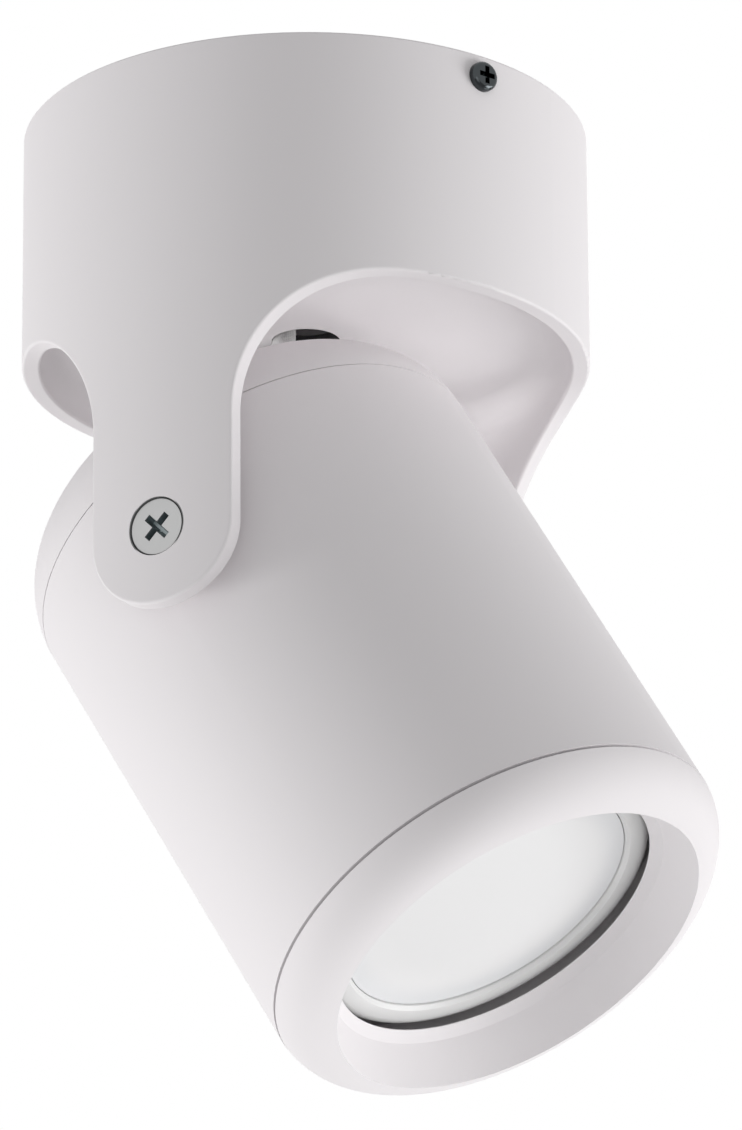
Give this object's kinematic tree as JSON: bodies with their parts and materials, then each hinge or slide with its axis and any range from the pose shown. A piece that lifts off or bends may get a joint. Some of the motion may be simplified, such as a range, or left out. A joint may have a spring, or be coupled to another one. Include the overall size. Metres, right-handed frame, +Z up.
{
  "type": "ceiling spotlight",
  "caption": "Surface mounted ceiling spotlight: a round drum base with two ears carries a tilting cylindrical lamp head with a domed rear cap and a rounded screw-on front ring.",
  "frame": {"origin": "centre of the bracket's ceiling face, on the base's axis, midway between the two fixing slots", "axes": "+Z up into the ceiling; the head tilts about Y between the two ears; at rest it leans towards +X"},
  "size_m": [0.0991, 0.08, 0.14],
  "materials": {
    "white_coat": "satin powder coat",
    "white_screw": "satin",
    "white_plastic": "matt",
    "zinc_steel": "zinc plated",
    "black_screw": "black chrome",
    "terminal_plastic": "moulded",
    "brass": "machined",
    "contact_brass": "rolled strip",
    "tinned_copper": "tinned",
    "ceramic": "glazed ceramic",
    "bush_rubber": "soft",
    "grommet_rubber": "soft",
    "live_insulation": "silicone",
    "neutral_insulation": "silicone",
    "earth_insulation": "silicone",
    "sleeve": "woven glass sleeve",
    "lamp_white": "moulded",
    "pin_metal": "turned",
    "lamp_lens": "frosted",
    "led_board": "soldered board",
    "driver_board": "soldered board",
    "seal_rubber": "soft"
  },
  "bodies": {
    "base": {"base_housing": "white_coat", "cable_bush": "bush_rubber", "mounting_bracket": "zinc_steel", "housing_screws": "black_screw", "terminal_block": "terminal_plastic", "terminal_clamps": "brass", "terminal_screws": "zinc_steel", "terminal_block_screws": "zinc_steel", "bracket_earth_screw": "zinc_steel", "bracket_earth_lug": "tinned_copper", "earth_jumper": "earth_insulation", "live_lead": "live_insulation", "neutral_lead": "neutral_insulation", "earth_lead": "earth_insulation", "lead_sleeve": "sleeve"},
    "head": {"head_tube": "white_coat", "rear_cap": "white_coat", "rear_grommet": "grommet_rubber", "pivot_screws": "white_screw", "pivot_washers": "white_plastic", "pivot_bushes": "white_coat", "lamp_holder": "ceramic", "holder_contacts": "contact_brass", "holder_strap": "zinc_steel", "holder_screws": "zinc_steel", "strap_screws": "zinc_steel", "head_earth_screw": "zinc_steel", "head_earth_lug": "tinned_copper"},
    "ring_carrier": {"ring_seal": "seal_rubber"},
    "ring": {"front_ring": "white_coat"},
    "lamp": {"lamp_base": "lamp_white", "lamp_pins": "pin_metal", "lamp_shell": "lamp_white", "lamp_lens": "lamp_lens", "led_board": "led_board", "driver_board": "driver_board"}
  },
  "joints": [
    {"name": "head_tilt", "type": "hinge", "parent": "base", "child": "head", "pos_m": [0, 0, -0.0704], "axis": [0, -1, 0], "range_deg": [-121, 59], "deforming": ["live_lead", "neutral_lead", "earth_lead", "lead_sleeve"]},
    {"name": "ring_travel", "type": "slide", "parent": "head", "child": "ring_carrier", "axis": [0.515, 0, -0.8572], "range_m": [0, 0.006]},
    {"name": "ring_turn", "type": "hinge", "parent": "ring_carrier", "child": "ring", "pos_m": [0, 0, -0.0704], "axis": [0.515, 0, -0.8572], "range_deg": [0, 1440]},
    {"name": "lamp_turn", "type": "hinge", "parent": "head", "child": "lamp", "pos_m": [0, 0, -0.0704], "axis": [0.515, 0, -0.8572], "range_deg": [0, 20]}
  ],
  "couplings": [
    {"joint": "ring_travel", "follows": "ring_turn", "m_per_rad": 0.00023873}
  ]
}
